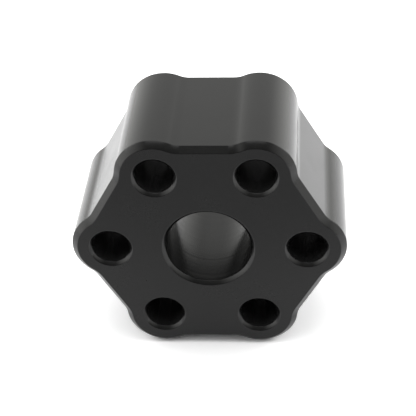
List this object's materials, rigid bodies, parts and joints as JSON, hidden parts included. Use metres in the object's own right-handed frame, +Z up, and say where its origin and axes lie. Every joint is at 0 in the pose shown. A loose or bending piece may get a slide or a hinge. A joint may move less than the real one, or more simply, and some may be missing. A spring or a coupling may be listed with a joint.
{
  "type": "hub spacer block",
  "caption": "Lobed hexagonal spacer block with a chamfered central bore and through bolt holes in its lobes, clamped between two flanges to space them apart.",
  "frame": {"origin": "on the bore axis, halfway along the block", "axes": "+Y along the bore, from the front face to the rear face; +X through the centres of two opposite lobes; +Z up, as the block lies on two lobes"},
  "size_m": [0.0712, 0.0364, 0.0644],
  "materials": {
    "black_anodised_aluminium": "black anodised, satin"
  },
  "bodies": {
    "root": {"spacer_block": "black_anodised_aluminium"}
  },
  "joints": []
}
